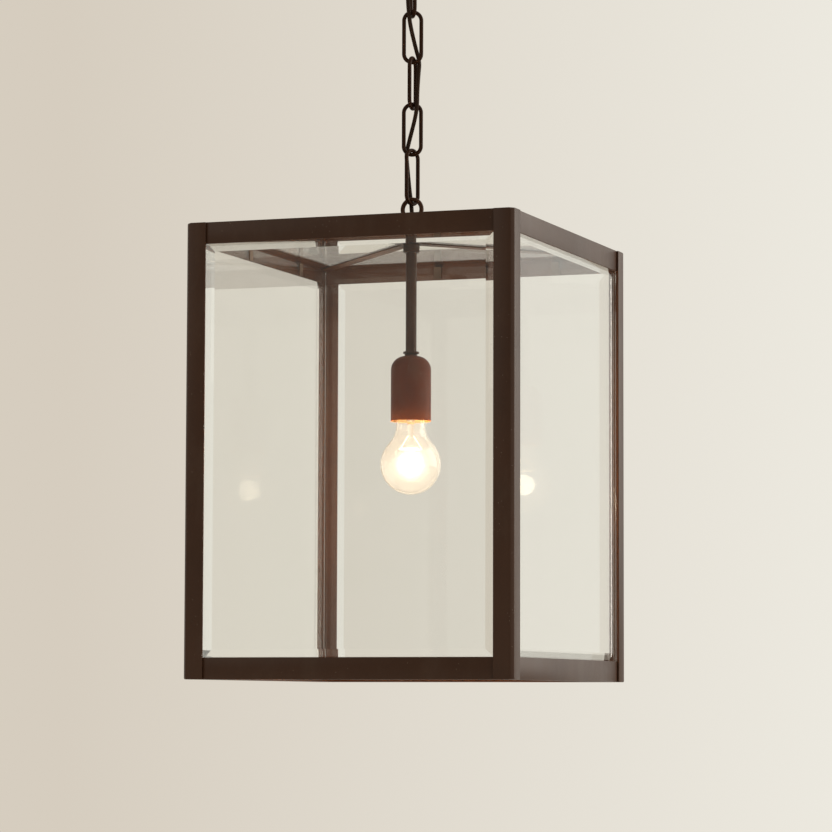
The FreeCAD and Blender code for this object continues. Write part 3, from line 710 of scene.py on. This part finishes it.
@dataclass
class Lamp(SubAssembly):
    """The bare lamp: glass, cap, mount and lit filament.

    Each core shell is a radius in millimetres and a brightness, which fades outwards.
    """

    light_power: float = 6.0
    light_tint: Colour = (1.0, 0.60, 0.30)
    core_tint: Colour = (1.0, 0.86, 0.62)
    core_shells: tuple[tuple[float, float], ...] = (
        (12.0, 9.0), (15.0, 0.7), (18.0, 0.30), (21.0, 0.13), (24.0, 0.06),
    )
    shine_power: float = 0.06
    shine_tint: Colour = (1.0, 0.80, 0.52)
    shine_size: float = 13.0 * MM
    light_size: float = 28.0 * MM

    def build(self) -> None:
        """Dress the lamp and set its light."""
        self.dress_node("bulb_glass", "bulb_glass")
        self.dress_node("bulb_mount", "bulb_glass")
        self.dress_node("bulb_cap", "cap_metal")
        self.dress_node("bulb_contact", "cap_metal")
        self.dress_node("bulb_filament", "tungsten")
        for number, (radius, brightness) in enumerate(self.core_shells, start=1):
            size = radius * MM
            power = brightness * 4.0 * math.pi ** 2 * size ** 2
            self.glow(f"lamp_core_{number}", power, self.core_tint, size, Role.SEEN)
        self.glow("lamp_shine", self.shine_power, self.shine_tint, self.shine_size, Role.MIRRORED)
        self.glow("lamp_light", self.light_power, self.light_tint, self.light_size, Role.LIGHTS)

    def glow(self, name: str, power: float, tint: Colour, size: float, role: Role) -> None:
        """Hang a round light in the middle of the lamp's globe.

        Args:
            name: the light's name.
            power: its power, in watts.
            tint: its colour.
            size: its radius, in metres.
            role: what the light is for.
        """
        low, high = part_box("bulb_glass")
        lamp = bpy.data.lights.new(name, "POINT")
        lamp.energy = power
        lamp.color = tint
        lamp.shadow_soft_size = size
        holder = bpy.data.objects.new(name, lamp)
        holder.location = (0.0, 0.0, low.z + 0.5 * (high.x - low.x))
        holder.visible_camera = role is Role.SEEN
        holder.visible_transmission = role is Role.SEEN
        holder.visible_glossy = role is Role.MIRRORED
        holder.visible_diffuse = role is Role.LIGHTS
        bpy.context.scene.collection.objects.link(holder)
        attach(holder, "bulb")


# ---------------------------------------------------------------- The suspension


@dataclass
class Chain(SubAssembly):
    """The five links and the loop that they hang from."""

    count: int = 5

    def build(self) -> None:
        """Paint the chain."""
        for number in range(1, self.count + 1):
            self.dress_node(f"chain_link_{number}", "bronze_chain")
        self.dress_node("ceiling_loop", "bronze_fittings")


@dataclass
class CeilingFitting(SubAssembly):
    """The canopy and what holds it up."""

    def build(self) -> None:
        """Dress the ceiling fitting's pieces."""
        self.dress_node("ceiling_canopy", "bronze_fittings")
        self.dress_node("loop_collar", "bronze_fittings")
        for node in ("ceiling_crossbar", "ceiling_nipple", "nipple_nut"):
            self.dress_node(node, "zinc_steel")
        self.dress_node("earth_screw", "screw_green")


@dataclass
class Flex(SubAssembly):
    """The braided flex, woven down the chain, in one stretch for each joint that it crosses."""

    radius: float = 2.1 * MM
    pitch: float = 3.0 * MM
    ring: int = 12
    roof: float = -0.328
    turned: float = math.radians(20.0)
    neck_cuts: tuple[float, float] = (300.0, 12.0)
    cut_runs: tuple[int, ...] = (4, 7, 10, 13, 16)
    route: tuple[Triple, ...] = (
        (0.0, 0.0, 350.0),
        (0.0, 0.0, 287.5),
        (-3.2, 2.6, 280.5),
        (-5.0, 5.4, 271.5),
        (-5.2, 3.4, 260.0),
        (-4.8, 2.6, 240.0),
        (-4.0, 5.4, 228.5),
        (-2.6, 3.2, 215.5),
        (3.2, -3.0, 192.0),
        (7.1, -5.2, 179.0),
        (6.0, -2.4, 167.5),
        (4.8, 2.4, 146.5),
        (4.8, 5.8, 134.0),
        (3.0, 3.6, 121.5),
        (-3.2, -3.6, 98.5),
        (-6.2, -6.0, 86.0),
        (-5.0, -4.4, 74.0),
        (-2.8, -6.0, 50.0),
        (-1.2, -6.8, 38.5),
        (-0.6, -5.2, 31.0),
        (0.0, 0.0, 21.5),
        (0.0, 0.0, -118.0),
    )

    def spot(self, across: float, near: float, height: float) -> Vector:
        """Turn a route point, in millimetres, into a place in the lantern's frame."""
        x = across * math.cos(self.turned) + near * math.sin(self.turned)
        y = across * math.sin(self.turned) - near * math.cos(self.turned)
        return Vector((x * MM, y * MM, height * MM + self.roof))

    def tube(self, name: str, points: Sequence[Vector]) -> bpy.types.Object:
        """Make one stretch of the sleeve as a mesh with its own UV map.

        Args:
            name: the piece's name.
            points: control points of its smooth line.

        Returns:
            The new mesh object.
        """
        curve = bpy.data.curves.new(name, "CURVE")
        curve.dimensions = "3D"
        line = curve.splines.new("NURBS")
        line.points.add(len(points) - 1)
        for knot, place in zip(line.points, points):
            knot.co = (*place, 1.0)
        line.order_u = 3
        line.use_endpoint_u = True
        line.resolution_u = 8
        curve.bevel_depth = self.radius
        curve.bevel_resolution = 4
        curve.use_fill_caps = True
        piece = bpy.data.objects.new(name, curve)
        bpy.context.scene.collection.objects.link(piece)
        make_active(piece)
        bpy.ops.object.convert(target="MESH")
        piece = bpy.context.view_layer.objects.active
        piece.name = name
        self.map_sleeve(piece)
        make_active(piece)
        bpy.ops.object.shade_smooth_by_angle(angle=math.radians(50.0))
        return piece

    def map_sleeve(self, piece: bpy.types.Object) -> None:
        """Write a UV map with the height along one way and a whole turn round the other.

        Args:
            piece: the sleeve's mesh.
        """
        mesh = piece.data
        sleeve = mesh.uv_layers.get("sleeve") or mesh.uv_layers.new(name="sleeve")
        for face in mesh.polygons:
            turns = [(mesh.loops[loop].vertex_index % self.ring) / self.ring for loop in face.loop_indices]
            over_seam = max(turns) - min(turns) > 0.5
            for loop, turn in zip(face.loop_indices, turns):
                height = mesh.vertices[mesh.loops[loop].vertex_index].co.z / self.pitch
                sleeve.data[loop].uv = (height, turn + 1.0 if over_seam and turn < 0.5 else turn)

    def build(self) -> None:
        """Make every stretch of the sleeve from one cut to the next, then the tail and the stem."""
        bodies = ["ceiling", "link_1", "link_2", "link_3", "link_4", "link_5", "lantern"]
        route = [self.spot(*point) for point in self.route]
        middles = [(route[run] + route[run + 1]) * 0.5 for run in self.cut_runs]
        ends = [self.spot(0.0, 0.0, self.neck_cuts[0]), *middles, self.spot(0.0, 0.0, self.neck_cuts[1])]
        firsts = (0, *self.cut_runs)
        lasts = (*self.cut_runs, len(route) - 2)
        for number, (first, last) in enumerate(zip(firsts, lasts), start=1):
            upper, lower = ends[number - 1], ends[number]
            piece = self.tube(f"flex_sleeve_{number}", [upper, *route[first + 1:last + 1], lower])
            bodies[number - 1]
            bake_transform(piece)
            self.stand_in(piece, f"flex_span_{number}", "flex_braid")
        for node, body, upper, lower in (
            ("flex_tail", "ceiling", route[0], ends[0]), ("flex_stem", "lantern", ends[-1], route[-1]),
        ):
            piece = self.tube(f"{node}_sleeve", [upper, (upper + lower) * 0.5, lower])
            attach(piece, body)
            self.stand_in(piece, node, "flex_braid")


# ---------------------------------------------------------------- The studio


@dataclass
class Studio:
    """Floor, soft light and camera."""

    floor_level: float = -2.3
    floor_half: float = 14.0
    azimuth: float = 20.34
    rise: float = 4.753
    roll: float = 0.176
    distance: float = 3.4458
    aside: float = 0.0045
    level: float = -0.7921
    lens: float = 150.59
    sensor: float = 36.0
    sight: float = 60.0
    aim_height: float = -0.45
    light_tint: Colour = (1.0, 0.93, 0.84)
    floor_glow: Colour = (0.735, 0.672, 0.585)
    floor_glow_power: float = 0.12
    right_way: Triple = (0.9376, 0.3476, 0.0)
    rear_way: Triple = (0.5, 0.866, 0.0)
    wall_dim: Colour = (0.672, 0.610, 0.521)
    wall_bright: Colour = (0.855, 0.831, 0.759)
    front_share: float = 0.53

    def floor(self) -> None:
        """A wide pale floor."""
        deselect()
        bpy.ops.mesh.primitive_plane_add(size=2.0 * self.floor_half, location=(0.0, 0.0, self.floor_level))
        ground = bpy.context.object
        ground.name = "studio_floor"
        bpy.ops.object.transform_apply(location=True, rotation=True, scale=True)
        graph = Graph.of_material("floor_pale")
        cloud = graph.noise(0.8, 3.0)
        tone = graph.blend(cloud, (0.74, 0.70, 0.64), (0.78, 0.74, 0.68))
        ground.data.materials.append(graph.done(graph.principled({
            "Base Color": tone,
            "Roughness": 0.8,
            "Emission Color": (*self.floor_glow, 1.0),
            "Emission Strength": self.floor_glow_power,
        })))

    def facing(self, graph: Graph, way: Triple) -> Signal:
        """How far each direction of the surroundings points one way, from -1 to 1.

        Args:
            graph: the world's graph.
            way: the unit direction to compare with.

        Returns:
            The signal.
        """
        direction = graph.node("ShaderNodeTexCoord").outputs["Generated"]
        sockets = {0: direction, 1: way}
        dot = graph.node("ShaderNodeVectorMath", {"operation": "DOT_PRODUCT"}, sockets)
        return Signal(graph, dot.outputs["Value"])

    def surround(self) -> None:
        """Soft light from all round, brighter behind and to the right than in front."""
        world = bpy.data.worlds.new("studio_light")
        bpy.context.scene.world = world
        graph = Graph(world)
        side = graph.between(self.facing(graph, self.right_way), -0.10, 0.14)
        rear = graph.between(self.facing(graph, self.rear_way), -0.8, 0.4, (self.front_share, 1.0))
        tone = graph.blend(side, self.wall_dim, self.wall_bright)
        light = graph.node("ShaderNodeBackground", {}, {"Color": tone, "Strength": rear}).outputs[0]
        graph.node("ShaderNodeOutputWorld", {}, {"Surface": light})

    def softbox(self, name: str, place: Triple, size: float, power: float) -> None:
        """Hang one large square light that points at the lantern.

        Args:
            name: the light's name.
            place: its centre.
            size: its side, in metres.
            power: its power, in watts.
        """
        light = bpy.data.lights.new(name, "AREA")
        light.size = size
        light.energy = power
        light.color = self.light_tint
        holder = bpy.data.objects.new(name, light)
        bpy.context.scene.collection.objects.link(holder)
        aim = Vector((0.0, 0.0, self.aim_height)) - Vector(place)
        holder.matrix_world = Matrix.Translation(place) @ aim.to_track_quat("-Z", "Y").to_matrix().to_4x4()

    def camera(self) -> None:
        """A long lens from the front right, a little below the lantern's foot."""
        yaw = -math.radians(self.azimuth)
        pitch = math.radians(self.rise)
        roll = math.radians(self.roll)
        ahead = Vector((math.sin(yaw), math.cos(yaw), 0.0))
        right = Vector((math.cos(yaw), -math.sin(yaw), 0.0))
        look = ahead * math.cos(pitch) + Vector((0.0, 0.0, math.sin(pitch)))
        up = right.cross(look)
        across = right * math.cos(roll) + up * math.sin(roll)
        over = up * math.cos(roll) - right * math.sin(roll)
        place = right * self.aside - ahead * self.distance
        place.z = self.level
        turn = Matrix((across, over, -look)).transposed().to_4x4()
        data = bpy.data.cameras.new("studio_camera")
        data.lens = self.lens
        data.sensor_width = self.sensor
        data.clip_end = self.sight
        eye = bpy.data.objects.new("studio_camera", data)
        bpy.context.scene.collection.objects.link(eye)
        eye.matrix_world = Matrix.Translation(place) @ turn
        bpy.context.scene.camera = eye

    def build(self) -> None:
        """Set up everything round the lantern."""
        self.floor()
        self.surround()
        self.softbox("window_light", (2.9, 2.0, 0.7), 3.3, 88.0)
        self.softbox("room_light", (-2.4, -2.6, 0.8), 2.0, 10.0)
        self.camera()
        bpy.context.scene.view_settings.view_transform = "Standard"


def finishes() -> dict[str, bpy.types.Material]:
    """Build every finish that the record's slots name.

    Returns:
        Material slot to material.
    """
    globe_low, globe_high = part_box("bulb_glass")
    cup_low, cup_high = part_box("holder_cup")
    kinds: Iterable[Any] = (
        SatinPaint("bronze_frame", (0.040, 0.0165, 0.0075), (0.054, 0.0230, 0.0110)),
        SatinPaint("bronze_fittings", (0.048, 0.0190, 0.0085), (0.064, 0.0260, 0.0120), shine=0.12),
        SatinPaint(
            "bronze_chain", (0.023, 0.0088, 0.0036), (0.038, 0.0150, 0.0064),
            gloss_low=0.36, gloss_high=0.5, shine=0.07,
        ),
        CupPaint(
            "holder_metal", (0.108, 0.0240, 0.0080), (0.132, 0.0310, 0.0110),
            gloss_low=0.36, gloss_high=0.5, peel=1.4, dust=3.0, shine=0.08,
            lip=cup_low.z, bore=0.5 * (cup_high.x - cup_low.x) - 0.4 * MM,
        ),
        PaneGlass("clear_glass"),
        LampGlass("bulb_glass", globe_low.z + 45.0 * MM, globe_high.z - 18.0 * MM),
        PlatedMetal("spring_steel", (0.20, 0.13, 0.09), (0.10, 0.07, 0.05), 0.4),
        PlatedMetal("zinc_steel", (0.62, 0.62, 0.60), (0.46, 0.45, 0.42), 0.34),
        SatinPaint("screw_green", (0.012, 0.085, 0.03), (0.02, 0.12, 0.04)),
        Moulded("phenolic", (0.020, 0.014, 0.011), 0.38),
        PlatedMetal("brass", (0.78, 0.56, 0.22), (0.52, 0.36, 0.15), 0.24),
        PlatedMetal("cap_metal", (0.72, 0.70, 0.66), (0.50, 0.47, 0.42), 0.22),
        GlowingWire("tungsten", (1.0, 0.62, 0.28), 4.0),
        Moulded("washer_rubber", (0.010, 0.010, 0.010), 0.7),
        Braid("flex_braid", (0.014, 0.0070, 0.0035), (0.044, 0.0225, 0.0120)),
    )
    return {kind.slot: kind.build() for kind in kinds}


def main() -> None:
    """Build the sub-assemblies in order and report each piece."""
    logging.basicConfig(level=logging.INFO, format="%(name)s %(message)s")
    made = finishes()
    for part in (
        LanternFrame(made), Glazing(made), LampHolder(made), Lamp(made),
        Chain(made), CeilingFitting(made), Flex(made),
    ):
        part.build()
        part.report()
    Studio().build()


if __name__ == "__main__":
    main()
